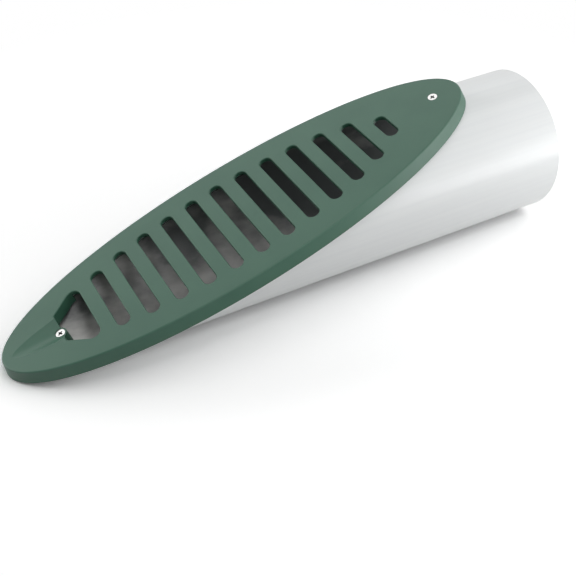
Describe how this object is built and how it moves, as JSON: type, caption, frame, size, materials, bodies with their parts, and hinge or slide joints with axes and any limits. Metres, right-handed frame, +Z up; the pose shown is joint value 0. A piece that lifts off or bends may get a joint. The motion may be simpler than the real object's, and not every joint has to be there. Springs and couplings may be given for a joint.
{
  "type": "yard drain emitter",
  "caption": "Slant-cut drain pipe end with a slotted moulded grate screwed over the cut, for letting piped yard water out at a bank or slope.",
  "frame": {"origin": "centre of the pipe's plain end, on the pipe's axis", "axes": "+X along the pipe's axis, out of the plain end; the toe of the slanted cut is at -X; +Z up, on the side that the slanted cut and its grate face; +Y across"},
  "size_m": [0.4434, 0.1266, 0.1292],
  "materials": {
    "pipe_plastic": "smooth extruded white PVC",
    "grate_plastic": "satin moulded green, fine moulded grain",
    "screw_steel": "plain stainless"
  },
  "bodies": {
    "root": {"pipe": "pipe_plastic", "grate": "grate_plastic", "grate_screws": "screw_steel"}
  },
  "joints": []
}
